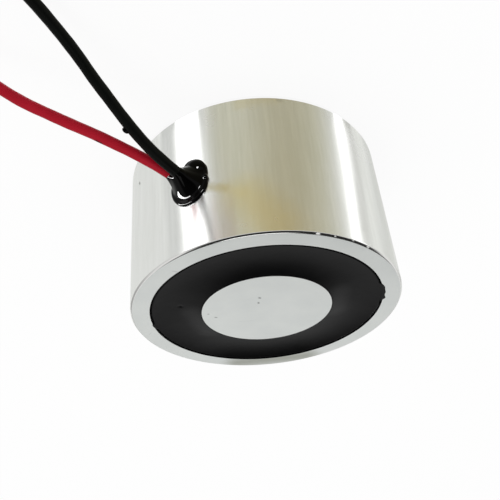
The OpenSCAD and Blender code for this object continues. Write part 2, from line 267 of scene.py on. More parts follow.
def twisted_strands(line, radius=0.42, strands=7, lay=0.9, columns=56):
    """Radius r * (1 + lobe * cos(strands * (round + lay * distance))), closed by a dome at the end."""
    distance = length_along(line)
    turned = full_turn(columns)[None] + lay * distance[:, None]
    lobes = 1 + STRAND_LOBE * np.cos(strands * turned)
    share = distance / distance[-1]
    dome = np.sqrt(np.clip(1 - np.clip((share - 1 + DOME_SHARE) / DOME_SHARE, 0, 1) ** 2, 0, 1))
    dome = np.where(share == 0, 0, dome)
    return line[:, None] + (radius * lobes * dome[:, None])[..., None] * ring_along(line, columns)


def bare_end(name, line, length=6, steps=60):
    """Carries the lead's last heading on for the stripped length, sinking a little to rest."""
    heading = line[-1] - line[-2]
    heading /= np.linalg.norm(heading)
    s = np.concatenate([[-BARE_OVERLAP], np.linspace(BARE_CAP - BARE_OVERLAP, length, steps)])
    end_line = line[-1] + s[:, None] * heading
    end_line[:, 2] -= BARE_SINK * ease(s / length)
    return add_piece(name, twisted_strands(end_line))


red_end = bare_end("red_bare_end", red_line)
black_end = bare_end("black_bare_end", black_line)

# %% [markdown]
# ### The tie
# The spare lead is held by a plastic-covered twist tie. Its band goes once round both layers of
# turns, so its middle line is a rounded box (a superellipse), and its section is a thin strip with
# round edges. Its two ends are twisted round each other, which is a strip that turns as it goes out.

# %% Tie round the coil
TIE_T, TIE_W, TIE_TWIST, TWIST_HALF_W = 0.35, 3.0, 5.0, 0.8
TIE_TIP, TIE_ROOT = 0.06, 0.02
BUNDLE_R, BUNDLE_Z = 9.0, 2.15
BUNDLE_HALF_W, BUNDLE_HALF_H = 2.75, 1.8
TIE_MIDDLE = np.array([COIL_MIDDLE[0], COIL_MIDDLE[1] - BUNDLE_R, BUNDLE_Z])


def at_tie(out, side, up):
    """Points at distances from the tie's middle: out from the coil, along the bundle, and up."""
    return TIE_MIDDLE + np.stack(np.broadcast_arrays(side, -out, up), axis=-1)


def rounded_box(angle, half_w, half_h, power=4):
    """Point of a rounded box: cosine and sine raised to 2 / power with their signs kept."""
    c, s = np.cos(angle), np.sin(angle)
    return np.sign(c) * half_w * np.abs(c) ** (2 / power), np.sign(s) * half_h * np.abs(s) ** (2 / power)


def tie_band(rows=96, columns=24):
    """Grid of the band: round the bundle by one angle, round the strip's section by the other."""
    u, v = full_turn(rows)[:, None], full_turn(columns)[None]
    width, thick = rounded_box(v, TIE_W / 2, TIE_T / 2)
    out, up = rounded_box(u, BUNDLE_HALF_W + TIE_T / 2, BUNDLE_HALF_H + TIE_T / 2)
    out, up = out * (1 + thick / BUNDLE_HALF_W), up * (1 + thick / BUNDLE_HALF_H)
    return at_tie(out, width, up)


def tie_twist(turns=1.5, rows=60, columns=24):
    """A strip with both ends drawn in, which turns steadily about its own line as it goes out."""
    s, v = np.linspace(0, 1, rows)[:, None], full_turn(columns)[None]
    end = np.clip((1 - s) / TIE_TIP, 0, 1) ** 0.5 * np.clip(s / TIE_ROOT, 0, 1) ** 0.5
    width, thick = rounded_box(v, TWIST_HALF_W, TIE_T)
    turn = 2 * np.pi * turns * s
    a = (width * np.cos(turn) - thick * np.sin(turn)) * end
    b = (width * np.sin(turn) + thick * np.cos(turn)) * end
    return at_tie(BUNDLE_HALF_W + TIE_T / 2 + TIE_TWIST * s, a, b)


tie = add_piece("twist_tie", tie_band(), tie_twist(), wrapped=1)
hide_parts("lead_tie")

# %% [markdown]
# ## The pot
# The pot is one turned piece: tapped hole, back, wall, rim, cavity and centre pole are one profile
# carried round the axis. A lathe never leaves a true corner, so each corner of the profile is
# traded for a small arc. The points close to each arc keep the flat faces flat when the shading is
# smoothed over the edges.

# %% Profile of the pot
POT_H, BACK_T, CAVITY_R, POLE_R = 30, 6, 21.4, 12.25
RIM_CHAMFER, BACK_CHAMFER, FACE_EDGE = 0.3, 0.6, 0.15
THREAD_R, THREAD_DEPTH, THREAD_SINK, DRILL_HALF_ANGLE = 2.5, 10, 0.4, 59
DRILL_TIP = THREAD_DEPTH + THREAD_R / np.tan(np.radians(DRILL_HALF_ANGLE))
# Each corner: radius, height, size of its arc
POT_CORNERS = [
    (0, DRILL_TIP, 0), (THREAD_R, THREAD_DEPTH, 0.05), (THREAD_R, THREAD_SINK, 0.08),
    (THREAD_R + THREAD_SINK, 0, 0.08), (WALL_R - BACK_CHAMFER, 0, 0.15), (WALL_R, BACK_CHAMFER, 0.15),
    (WALL_R, POT_H - RIM_CHAMFER, 0.1), (WALL_R - RIM_CHAMFER, POT_H, 0.1),
    (CAVITY_R + FACE_EDGE, POT_H, 0.06), (CAVITY_R, POT_H - FACE_EDGE, 0.06),
    (CAVITY_R, BACK_T, 0.1), (POLE_R, BACK_T, 0.1), (POLE_R, POT_H - FACE_EDGE, 0.06),
    (POLE_R - FACE_EDGE, POT_H, 0.06), (0, POT_H, 0),
]


def rounded_profile(corners, arc_steps=4, guard=0.08):
    """Each corner becomes a curve between its tangent points, with a guard point on both sides."""
    c = np.array(corners, float)
    profile = [c[:1, :2]]
    for before, corner, after in zip(c[:-2], c[1:-1], c[2:]):
        here, size = corner[:2], corner[2]
        back, ahead = before[:2] - here, after[:2] - here
        back, ahead = back / np.linalg.norm(back), ahead / np.linalg.norm(ahead)
        t = np.linspace(0, 1, arc_steps + 1)[:, None]
        curve = here + size * ((1 - t) ** 2 * back + t**2 * ahead)
        profile += [here + (size + guard) * back[None], curve, here + (size + guard) * ahead[None]]
    return np.vstack(profile + [c[-1:, :2]])


def revolve(profile, columns=256):
    """Turns a profile of radius and height round the axis."""
    angle = full_turn(columns)
    r, z = profile[:, :1], profile[:, 1:]
    return np.stack([r * np.cos(angle), r * np.sin(angle), z + 0 * angle], axis=-1)


pot = add_piece("turned_pot", revolve(rounded_profile(POT_CORNERS)))
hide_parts("magnet_pot")

# %% [markdown]
# ### The thread
# The tapped hole carries a standard thread of 5 mm with a pitch of 0.8 mm. Its ridge is a small
# trapezoid carried along a helix, and it fades into the wall at both ends.

# %% Thread in the back
THREAD_PITCH, RIDGE_FOOT_R, RIDGE_CREST_R = 0.8, 2.56, 2.07
RIDGE_FOOT, RIDGE_CREST, FADE_TURNS, FADE_LEAST = 0.38, 0.08, 0.5, 0.02


def thread_ridge(per_turn=48):
    """Trapezoid section along a helix: angle grows with the way, height by one pitch in each turn."""
    turns = (THREAD_DEPTH - THREAD_SINK - THREAD_PITCH) / THREAD_PITCH
    way = np.linspace(0, turns, int(per_turn * turns))[:, None]
    fade = np.clip(np.minimum(way, turns - way) / FADE_TURNS, FADE_LEAST, 1)
    inward = np.array([0, 1, 1, 0]) * (RIDGE_FOOT_R - RIDGE_CREST_R)
    upward = np.array([-RIDGE_FOOT, -RIDGE_CREST, RIDGE_CREST, RIDGE_FOOT])
    r = RIDGE_FOOT_R - inward * fade
    z = THREAD_SINK + THREAD_PITCH / 2 + THREAD_PITCH * way + upward * fade
    angle = 2 * np.pi * way + 0 * r
    return np.stack([r * np.cos(angle), r * np.sin(angle), z], axis=-1)


thread = add_piece("mounting_thread", thread_ridge(), smooth=False)

# %% [markdown]
# ## The resin
# Resin shrinks as it sets: it clings to the steel at both edges and sags between them. So its
# surface is a ring whose height follows a parabola from rim to pole. A slow wave round the ring
# keeps it from looking machined. Along the rim it drew back into a fine groove, in two places it ran
# over the rim in a thin ragged lip, and one spot carries a dent.

# %% Cast resin
RESIN_STEP, RESIN_DISH, RESIN_FLOOR, RESIN_FIT = 0.05, 0.55, 27.0, 0.005
RESIN_WAVES = [(0.025, 2, 0.6), (0.015, 5, 2), (0.01, 9, 0)]
EDGE_GROOVE, EDGE_GROOVE_W, GROOVE_BEND = 0.45, 0.35, 1.5
# Each run-over: first and last angle in degrees, and how far it reaches
OVERRUNS = [(-118, -100, 0.5), (65, 73, 0.22)]
RAGGED_WAVES = [(0.12, 71, 0), (0.12, 43, 1)]
OVERRUN_LIP, OVERRUN_T, OVERRUN_START = 0.35, 0.03, 0.1
OVERRUN_RISE, OVERRUN_FALL = 2, 4
DENT_AT, DENT_R, DENT_DEPTH = (10.2, 12.3), 0.5, 0.14


def overrun(angle):
    """How far resin ran out over the rim at each angle: short stretches with ragged edges."""
    degrees = np.degrees(np.angle(np.exp(1j * angle)))
    far = sum(most * ease((degrees - a) / OVERRUN_RISE) * ease((b - degrees) / OVERRUN_FALL)
              for a, b, most in OVERRUNS)
    return far * (1 + ripple(RAGGED_WAVES, angle))


def resin_ring(columns=512, rows=64):
    """Height = face - step - dish * 4 a (1 - a) - groove, with a = 0 at the rim and 1 at the pole;
    closed underneath."""
    angle = full_turn(columns)[None]
    t = (1 - np.cos(np.linspace(0, np.pi, rows)[:, None])) / 2
    over = overrun(angle)
    outer = CAVITY_R - RESIN_FIT + over
    r = outer + (POLE_R + RESIN_FIT - outer) * t
    groove = EDGE_GROOVE * np.clip(1 - (r[0] - r) / EDGE_GROOVE_W, 0, 1) ** GROOVE_BEND
    ran_out = ease(over / OVERRUN_START) * ease(1 - (CAVITY_R - r) / OVERRUN_LIP)
    across = np.clip((CAVITY_R - r) / (CAVITY_R - POLE_R), 0, 1)
    dish = (RESIN_DISH + ripple(RESIN_WAVES, angle)) * 4 * across * (1 - across)
    top = POT_H - RESIN_STEP - dish - groove * (1 - ran_out)
    top = top + (POT_H + OVERRUN_T - top) * ran_out
    x, y = r * np.cos(angle), r * np.sin(angle)
    top = top - DENT_DEPTH * np.exp(-((x - DENT_AT[0]) ** 2 + (y - DENT_AT[1]) ** 2) / DENT_R**2 * 2)
    floor_z = np.full((1, columns), RESIN_FLOOR)
    return np.stack([np.concatenate([x[:1], x, x[-1:]]), np.concatenate([y[:1], y, y[-1:]]),
                     np.concatenate([floor_z, top, floor_z])], axis=-1)


resin = add_piece("cast_resin", resin_ring(), wrapped=1)
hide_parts("potting_resin")

# %% [markdown]
# ## The seal round the leads
# The hole in the wall is closed by a drop of the same resin. It has a rounded foot on the wall and
# flares up to both leads, and one side ran down into a knob. All of that is a height over the wall:
# the outline is a closed spline, and the height is the sum of a round rim and a flare that dies away
# from the leads, joined to the knob's cap by a soft maximum.

# %% Foot of the seal
SEAL_MIDDLE = np.array([-0.1, 16.6])
# Each point of the outline: angle in degrees, radius
SEAL_OUTLINE = [
    (-88, 3.6), (-104, 4.25), (-123, 4.55), (-142, 4.35), (-158, 3.95), (-172, 3.65), (-190, 3.7),
    (-206, 3.85), (-237, 4.25), (-273, 4.55), (-312, 4.05), (-338, 3.7), (-365, 3.5), (-400, 3.3),
    (-428, 3.3),
]
RED_EXIT, BLACK_EXIT = np.array([1.4, 16.0]), np.array([-0.5, 17.0])
FLANGE_H, FLANGE_W_SIDE, FLANGE_W_UP, FLANGE_EDGE, FLANGE_BEND = 0.65, 0.45, 0.9, 4.5, 1.5
NECK_R, CONE_H, CONE_BEND, CLIMB_MOST = 0.8, 3.6, 1.4, 0.92
KNOB_AT, KNOB_HALF, KNOB_H = np.array([-1.5, 14.3]), np.array([2.25, 1.95]), 2.0
SOFT_JOIN, FOOT_SINK, FOOT_ROOT = 0.02, 0.1, 1.0


def outline_radius(psi):
    """Radius of the closed outline at each angle, from a spline through its points, wrapped round."""
    points = np.array(SEAL_OUTLINE, float)
    turns = np.vstack([points + [360 * k, 0] for k in (1, 0, -1)])
    smooth = spline_through(turns[::-1], per_span=12)
    return np.interp(np.degrees(psi) - 360, smooth[:, 0], smooth[:, 1])


def gap_to_leads(y, z):
    """Distance to the short line between both leads, less the neck's radius."""
    span = BLACK_EXIT - RED_EXIT
    y, z = y - RED_EXIT[0], z - RED_EXIT[1]
    share = np.clip((y * span[0] + z * span[1]) / (span @ span), 0, 1)
    return np.hypot(y - share * span[0], z - share * span[1]) - NECK_R


def on_wall(radius, psi):
    """Place across and up the wall, at a radius and an angle from the seal's middle."""
    return SEAL_MIDDLE[0] + radius * np.cos(psi), SEAL_MIDDLE[1] + radius * np.sin(psi)


def seal_foot(rows=120, columns=192):
    """Height = rounded flange + cone * (1 - gap / gap at the groove)^bend, with a soft maximum of
    that and the knob."""
    rho, psi = np.linspace(0, 1, rows)[:, None], full_turn(columns)[None]
    reach = outline_radius(psi)
    upward = np.clip(np.sin(psi), 0, 1) ** FLANGE_BEND
    flange_w = FLANGE_W_SIDE + (FLANGE_W_UP - FLANGE_W_SIDE) * upward
    y, z = on_wall(rho * reach, psi)
    inside = np.clip((1 - rho) * reach / flange_w, 0, 1)
    flange = FLANGE_H * (1 - (1 - inside) ** FLANGE_EDGE) ** (1 / FLANGE_EDGE)
    groove = gap_to_leads(*on_wall(reach - flange_w, psi))
    climb = np.clip(1 - gap_to_leads(y, z) / groove, 0, CLIMB_MOST)
    body = flange + CONE_H * climb**CONE_BEND
    knob = np.hypot((y - KNOB_AT[0]) / KNOB_HALF[0], (z - KNOB_AT[1]) / KNOB_HALF[1])
    knob = KNOB_H * np.sqrt(np.clip(1 - knob**2, 0, 1))
    height = (body + knob + np.sqrt((body - knob) ** 2 + SOFT_JOIN)) / 2
    wall = np.sqrt(WALL_R**2 - y**2)
    top = np.stack([wall - FOOT_SINK + height, y, z], axis=-1)
    under = np.stack([wall[[-1, 0]] - FOOT_ROOT, y[[-1, 0]], z[[-1, 0]]], axis=-1)
    return np.concatenate([top, under])


# %% [markdown]
# ### Cuffs, bead and splash
# A cuff climbs along each lead: that is a tube round the lead's own line whose radius falls off with
# the way from the wall. A bead hangs at the foot's edge. Foot, cuffs and bead cross each other, so a
# fine remesh makes them one skin, and smoothing lets that skin flow together. A splash of the same
# resin dried on the black lead, and it stays a piece of its own.

# %% Seal and splash
CUFF_SINK, CUFF_LIP, DROP_BLUNT, DROP_BEND = 0.1, 2.0, 0.25, 0.8
SKIN_VOXEL, FLOW_FACTOR, FLOW_STEPS = 0.1, 0.5, 7


def cuff(line, length, end_r, foot_r, fall, rows=60, columns=48):
    """Tube round the lead: radius = end + foot * exp(-way / fall), drawn in to the lead in a round lip."""
    way = np.linspace(0, length, rows)
    middle = points_at(line, way)
    lip = ease((length - way) / CUFF_LIP)
    inner = LEAD_D / 2 - CUFF_SINK
    radius = inner + (end_r - inner + foot_r * np.exp(-way / fall)) * lip
    ring = ring_along(middle, columns)
    tube = middle[:, None] + radius[:, None, None] * ring
    return np.concatenate([middle[:1, None] + 0 * ring[:1], tube, middle[-1:, None] + 0 * ring[:1]])


def drip(middle, along, half_length, half_w, rows=24, columns=32):
    """A drop: a round section whose radius follows a half wave along it, blunt at one end."""
    along = np.array(along) / np.linalg.norm(along)
    ring = ring_along(np.array([0 * along, along]), columns)[:1]
    t = np.linspace(0, np.pi, rows)[:, None, None]
    way = half_length * (-np.cos(t) + DROP_BLUNT * np.sin(t))
    radius = half_w * np.sin(t) ** DROP_BEND
    return np.array(middle) + way * along - radius * ring


seal = add_piece(
    "seal_drop", seal_foot(),
    cuff(red_line, length=5.2, end_r=1.1, foot_r=0.5, fall=1.6),
    cuff(black_line, length=6.0, end_r=1.12, foot_r=0.5, fall=2.0),
    drip((25.15, -3.4, 16.7), along=(0.1, 0.2, 1), half_length=0.55, half_w=0.5))
one_skin = seal.modifiers.new("one_skin", "REMESH")
one_skin.mode, one_skin.voxel_size, one_skin.use_smooth_shade = "VOXEL", SKIN_VOXEL * MM, True
flowed = seal.modifiers.new("flowed", "SMOOTH")
flowed.factor, flowed.iterations = FLOW_FACTOR, FLOW_STEPS
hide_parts("lead_seal")
splash_drop = drip((38.3, 2.6, 13.35), along=(3, 0.5, -1.7), half_length=0.6, half_w=0.5)
splash = add_piece("dried_splash", splash_drop)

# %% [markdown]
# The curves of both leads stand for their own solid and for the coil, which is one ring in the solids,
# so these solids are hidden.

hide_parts("red_lead", "lead_coil")
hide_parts("black_lead", "lead_coil")
print("leads of", LEAD_LENGTH, "mm declared")

# %% [markdown]
# ## Finishes
# A finish is a tree of shader nodes. Effects that several finishes share are built once as node
# groups: lathe lines, which are one-way noise along a coordinate, a mottle of two sizes, and the mask
# of a mark, which is the distance to a short line with a ragged edge. They put out plain values, and
# each material decides what to do with them.


# %% Node helpers
def put_in(tree, socket, value):
    """Gives an input a plain value, or links another node's output to it."""
    if isinstance(value, bpy.types.NodeSocket):
        tree.links.new(value, socket)
    else:
        socket.default_value = value


def feed(tree, node, **inputs):
    """Fills inputs by name; the words of a name are joined by underscores."""
    for name, value in inputs.items():
        put_in(tree, node.inputs[name.replace("_", " ")], value)


def add_node(tree, kind, *first, output=0, **rest):
    """One node: its first inputs in order, inputs named with a capital, plain settings; gives an output."""
    node = tree.nodes.new("ShaderNode" + kind)
    for key in [key for key in rest if key[0].islower()]:
        setattr(node, key, rest.pop(key))
    feed(tree, node, **rest)
    for socket, value in zip(node.inputs, first):
        put_in(tree, socket, value)
    return node.outputs[output] if node.outputs else node


def new_group(name, inputs, outputs):
    """An empty shader node group with named value sockets; gives its inputs and its output node."""
    group = bpy.data.node_groups.new(name, "ShaderNodeTree")
    for socket, default in inputs:
        kind = "NodeSocketVector" if default is None else "NodeSocketFloat"
        item = group.interface.new_socket(socket, in_out="INPUT", socket_type=kind)
        if default is not None:
            item.default_value = default
    for socket in outputs:
        group.interface.new_socket(socket, in_out="OUTPUT", socket_type="NodeSocketFloat")
    given = group.nodes.new("NodeGroupInput").outputs
    return group, list(given)[:len(inputs)], group.nodes.new("NodeGroupOutput")


# %% Shared node groups
MARK_NOISE_PER_MM = 1.3


def lathe_lines_group():
    """One-way noise of a coordinate, in mm, as the tool leaves it: lines across that coordinate."""
    group, given, out = new_group("lathe_lines", [("Across", 0.0), ("Lines per mm", 12.0)], ["Lines"])
    count = add_node(group, "Math", *given, operation="MULTIPLY")
    feed(group, out, Lines=add_node(group, "TexNoise", noise_dimensions="1D", W=count, Scale=1, Detail=3,
                                    Roughness=0.7))
    return group


def mottle_group():
    """Two sizes of cloudy noise on Object coordinates in mm: a broad cloud and a fine grain."""
    sockets = [("Position", None), ("Cloud per mm", 0.3), ("Grain per mm", 6.0)]
    group, (at, cloud, grain), out = new_group("mottle", sockets, ["Cloud", "Grain"])
    feed(group, out, Cloud=add_node(group, "TexNoise", at, Scale=cloud, Detail=3),
         Grain=add_node(group, "TexNoise", at, Scale=grain, Detail=4, Roughness=0.65))
    return group


def mark_group():
    """Mask of a mark: 1 on the line from Start along Way, 0 at Width; Wander makes its edge ragged."""
    sockets = [("Position", None), ("Start", None), ("Way", None), ("Width", 0.3), ("Wander", 0.1)]
    group, (at, start, way, width, wander), out = new_group("mark", sockets, ["Mask"])

    def vector(operation, *first, **rest):
        """The result of one vector node."""
        return add_node(group, "VectorMath", *first, operation=operation, **rest)

    noise = add_node(group, "TexNoise", at, Scale=MARK_NOISE_PER_MM, Detail=3, output="Color")
    shift = vector("SCALE", vector("SUBTRACT", noise, (0.5, 0.5, 0.5)), Scale=wander)
    offset = vector("SUBTRACT", vector("ADD", at, shift), start)
    share = add_node(group, "Math", vector("DOT_PRODUCT", offset, way, output="Value"),
                     vector("DOT_PRODUCT", way, way, output="Value"), operation="DIVIDE", use_clamp=True)
    gap = vector("DISTANCE", offset, vector("SCALE", way, Scale=share), output="Value")
    feed(group, out, Mask=add_node(group, "MapRange", interpolation_type="SMOOTHSTEP", Value=gap,
                                   From_Max=width, To_Min=1.0, To_Max=0.0))
    return group


LATHE_LINES, MOTTLE, MARK = lathe_lines_group(), mottle_group(), mark_group()
print("groups:", LATHE_LINES.name, MOTTLE.name, MARK.name)


# %% Material helpers
def new_finish(name, **inputs):
    """A material with its Principled shader and its Object coordinates in mm."""
    material = bpy.data.materials.new(name)
    material.use_nodes = True
    tree = material.node_tree
    shader = tree.nodes["Principled BSDF"]
    feed(tree, shader, **inputs)
    place = add_node(tree, "TexCoord", output="Object")
    return material, tree, shader, add_node(tree, "VectorMath", place, operation="SCALE", Scale=1 / MM)


def use_group(tree, group, **inputs):
    """Places a node group, fills its inputs and gives its outputs."""
    return add_node(tree, "Group", node_tree=group, **inputs).node.outputs


def spread(tree, value, low, high, source=(0.3, 0.7)):
    """Maps a noise value from its usual range to low and high."""
    return add_node(tree, "MapRange", value, *source, low, high, clamp=True)


def blend_colours(tree, share, first, second):
    """A colour between two by a share from 0 to 1."""
    node = add_node(tree, "Mix", share, data_type="RGBA").node
    for socket, colour in zip([s for s in node.inputs if s.type == "RGBA"], (first, second)):
        put_in(tree, socket, (*colour, 1) if isinstance(colour, tuple) else colour)
    return [s for s in node.outputs if s.type == "RGBA"][0]


def cloudy(tree, mottle, first, second):
    """A colour between two by the mottle's broad cloud."""
    return blend_colours(tree, spread(tree, mottle["Cloud"], 0, 1), first, second)


def height_in(tree, mm):
    """Height over the floor in mm."""
    return add_node(tree, "SeparateXYZ", mm, output="Z")


def add_marks(tree, colour, mm, marks):
    """Lays marks over a colour, each with its line, width, raggedness, strength and own colour."""
    for start, way, width, wander, strength, shade in marks:
        mark = use_group(tree, MARK, Position=mm, Start=start, Way=way, Width=width, Wander=wander)
        colour = blend_colours(tree, spread(tree, mark["Mask"], 0, strength, (0, 1)), colour, shade)
    return colour


def add_bump(tree, shader, height, depth_mm):
    """Feeds a height from 0 to 1, worth depth_mm, to the shader's normal."""
    bump = add_node(tree, "Bump", Strength=1.0, Distance=depth_mm * MM, Height=height)
    feed(tree, shader, Normal=bump)


def mottled(name, rates, colours, rough, relief, marks=(), painted_gloss_marks=(), **inputs):
    """A finish of cloud and grain: colour by the cloud, roughness by the grain, relief by either (with
    its depth in mm), and marks over the colour and the gloss."""
    material, tree, shader, mm = new_finish(name, **inputs)
    mottle = use_group(tree, MOTTLE, Position=mm, Cloud_per_mm=rates[0], Grain_per_mm=rates[1])
    if colours:
        feed(tree, shader, Base_Color=add_marks(tree, cloudy(tree, mottle, *colours), mm, marks))
    if painted_gloss_marks:
        feed(tree, shader, Specular_IOR_Level=add_marks(tree, RESIN_GLOSS, mm, painted_gloss_marks))
    feed(tree, shader, Roughness=spread(tree, mottle["Grain"], *rough))
    add_bump(tree, shader, mottle[relief[0]], relief[1])
    return material


# %% [markdown]
# ### Plated steel
# The wall was turned and then plated: fine lines run round it, so a reflection is drawn out along
# the axis and stays sharp across it. That is an anisotropic gloss whose tangent runs round the axis.
# The pole and the rim were ground flat and show a quiet even grain instead, and the chamfers were cut
# smooth; the back chamfer is painted darker, a painted shade at the foot. Marks are laid over these
# colours: a warm stain that ran from the hole, a painted shade along the far side of the rim, specks,
# scuffs, and painted glints on the rim's chamfer: near-white specks that do not mirror.

# %% Marks on the steel
STAIN, STREAK_STAIN, FAR_RIM_PAINTED_SHADE = (0.86, 0.75, 0.45), (0.62, 0.58, 0.42), (0.37, 0.38, 0.32)
DIRT, SCUFF = (0.1, 0.1, 0.095), (0.55, 0.56, 0.56)
# Painted glints: a near-white colour with almost no metal, so that these specks look bright from every side.
GLINT_WHITE, GLINT_METAL = (0.92, 0.92, 0.9), (0.05, 0.05, 0.05)
# Each mark: start, way, width, wander, strength, colour
WALL_MARKS = [
    ((24.72, -3.6, 18.75), (-0.5, -2.8, 1.2), 1.4, 0.7, 0.75, STREAK_STAIN),
    ((24.2, -6.1, 19.9), (-0.9, -2.9, 1.6), 2.0, 1.0, 0.3, STAIN),
    ((23.0, -9.8, 22.4), (-1.7, -3.6, 5.5), 6.8, 1.8, 0.6, STAIN),
    ((22.8, -10.2, 1.5), (-3.3, -5.0, -1.0), 2.6, 2.0, 0.3, STAIN),
    ((19.3, -15.9, 0.9), (-0.3, -0.4, 0.2), 0.7, 0.8, 0.5, SCUFF),
    ((21.0, 13.5, 7.1), (0.16, -0.25, 0.5), 0.42, 0.3, 0.85, DIRT),
    ((24.94, -1.7, 8.7), (-0.08, -0.9, 2.7), 0.16, 0.5, 0.55, SCUFF),
    ((24.9, -2.2, 9.4), (-0.02, -0.2, 0.9), 0.14, 0.5, 0.5, SCUFF),
    ((24.6, 4.4, 6.0), (-0.2, 0.9, 1.4), 0.14, 0.4, 0.4, SCUFF),
]
FACE_MARKS = [
    ((4.8, -1.2, 30), (0.2, 0.1, 0), 0.36, 0.3, 0.8, DIRT),
    ((3.6, -0.2, 30), (-0.3, 0.15, 0), 0.32, 0.3, 0.65, DIRT),
    ((3.5, 8.9, 30), (0.15, 0.15, 0), 0.34, 0.3, 0.65, DIRT),
    ((5.5, 9.3, 30), (0.1, 0.1, 0), 0.26, 0.3, 0.5, DIRT),
    ((-2.0, 4.0, 30), (1.5, 2.5, 0), 0.12, 0.3, 0.25, SCUFF),
    ((21.7, 5.9, 30), (-0.6, -0.5, 0), 0.24, 0.3, 0.6, SCUFF),
    ((6.2, 22.0, 30), (-0.6, 0.9, 0), 0.14, 0.3, 0.35, SCUFF),
    # The last mark is a painted shade: it darkens the far side of the rim face in place of a darker
    # reflection there.
    ((-23.2, 3.2, 30), (6.4, 13.0, 0), 4.6, 1.0, 0.8, FAR_RIM_PAINTED_SHADE),
]
# Painted glints on the near side of the rim's chamfer; each: start, way, width, wander, strength.
PAINTED_EDGE_GLINTS = [
    ((16.9, -18.2, 29.85), (-0.25, -0.22, 0), 0.3, 0.2, 1.0),
    ((14.5, -20.2, 29.9), (-0.1, -0.1, 0), 0.22, 0.2, 0.9),
    ((8.5, -23.35, 29.9), (-0.3, -0.1, 0), 0.26, 0.2, 0.9),
    ((11.6, -22.0, 29.8), (-0.2, -0.1, 0), 0.16, 0.2, 0.6),
]

# %% Steel finishes
STREAK, STREAK_SHARE, STREAK_SQUEEZE = (0.66, 0.67, 0.64), 0.2, (1, 1, 0.05)


def turned_steel():
    """Bright turned wall: lines round it, gloss drawn out along the axis, and streaks in the plating."""
    material, tree, shader, mm = new_finish("turned_plated_steel", Metallic=1, Anisotropic=0.92,
                                            Anisotropic_Rotation=0.25)
    lines = use_group(tree, LATHE_LINES, Across=height_in(tree, mm), Lines_per_mm=3)
    mottle = use_group(tree, MOTTLE, Position=mm, Cloud_per_mm=0.12)
    plating = cloudy(tree, mottle, (0.84, 0.845, 0.83), (0.9, 0.9, 0.895))
    drawn = add_node(tree, "VectorMath", mm, STREAK_SQUEEZE, operation="MULTIPLY")
    streaks = use_group(tree, MOTTLE, Position=drawn, Cloud_per_mm=0.8, Grain_per_mm=2.2)
    for size in ("Cloud", "Grain"):
        share = spread(tree, streaks[size], 0, STREAK_SHARE, source=(0.35, 0.65))
        plating = blend_colours(tree, share, plating, STREAK)
    tangent = add_node(tree, "Tangent", direction_type="RADIAL", axis="Z")
    feed(tree, shader, Base_Color=add_marks(tree, plating, mm, WALL_MARKS), Tangent=tangent,
         Roughness=spread(tree, mottle["Cloud"], 0.22, 0.28))
    add_bump(tree, shader, lines["Lines"], 0.0003)
    return material


def cut_edge():
    """Chamfers cut with a sharp tool: smooth, painted darker towards the back as shade at the foot,
    and with painted glints at the rim: near-white specks that do not mirror.
    """
    material, tree, shader, mm = new_finish("cut_steel_edge")
    mottle = use_group(tree, MOTTLE, Position=mm, Cloud_per_mm=0.5, Grain_per_mm=12)
    # The chamfers are painted darker towards the back: a painted shade at the foot, where the magnet meets
    # the floor.
    dark = cloudy(tree, mottle, (0.5, 0.49, 0.46), (0.62, 0.61, 0.58))
    edge = blend_colours(tree, spread(tree, height_in(tree, mm), 0, 1, (0, POT_H)), dark, (0.8, 0.8, 0.78))
    feed(tree, shader, Base_Color=add_marks(tree, edge, mm, [(*edge_glint, GLINT_WHITE) for edge_glint in PAINTED_EDGE_GLINTS]),
         Metallic=add_marks(tree, (1, 1, 1), mm, [(*edge_glint, GLINT_METAL) for edge_glint in PAINTED_EDGE_GLINTS]),
         Roughness=spread(tree, mottle["Grain"], 0.08, 0.16))
    return material


ground = mottled("ground_plated_steel", rates=(0.16, 9), colours=((0.8, 0.828, 0.808), (0.85, 0.876, 0.85)),
                 rough=(0.3, 0.4), relief=("Grain", 0.0015), marks=FACE_MARKS, Metallic=1)
for finish in (turned_steel(), ground, cut_edge()):
    pot.data.materials.append(finish)
thread.data.materials.append(pot.data.materials[0])
print("steel finishes:", [finish.name for finish in pot.data.materials])

# %% [markdown]
# ### Resin and insulation
# The cast resin is almost black and satin, with a slight ripple. Its gloss is lowered on the far side,
# a painted shade, and raised in two patches beside the pole, a painted sheen. The seal is the same
# resin left to flow, so it is glossy. The leads are soft plastic: a deep colour and a satin gloss,
# with a dark smear of resin on the red one.

# %% Resin, seal and lead finishes
RESIN_GLOSS, PAINTED_SHADE_LEVEL, PAINTED_SHEEN_LEVEL = (0.06, 0.06, 0.06), (0.01, 0.01, 0.01), (0.14, 0.14, 0.14)
# Painted shade and sheen on the resin's gloss: the first mark lowers it on the far side, the other two raise
# it in patches beside the pole.
PAINTED_GLOSS_MARKS = [
    ((-19.6, 4.6, 29.2), (5.0, 10.2, 0), 10, 1.5, 0.8, PAINTED_SHADE_LEVEL),
    ((6.9, 11.6, 29.2), (-7.9, 1.9, 0), 3.4, 0.5, 0.8, PAINTED_SHEEN_LEVEL),
    ((-2.5, -13.3, 29.2), (-6.3, 3.1, 0), 3.4, 0.5, 0.8, PAINTED_SHEEN_LEVEL),
]
LEAD_MARKS = [((38.8, 7.25, 13.9), (0.6, 0.42, -0.2), 0.45, 0.3, 0.95, (0.01, 0.002, 0.003))]
LEAD_PLASTIC = dict(rates=(0.25, 8), rough=(0.4, 0.52), relief=("Cloud", 0.04), Specular_IOR_Level=0.08)
RESIN_BLACKS = (0.001, 0.001, 0.0011), (0.002, 0.002, 0.0022)
LEAD_REDS = (0.32, 0.004, 0.014), (0.39, 0.007, 0.021)
LEAD_BLACKS = (0.0015, 0.002, 0.0015), (0.003, 0.004, 0.003)
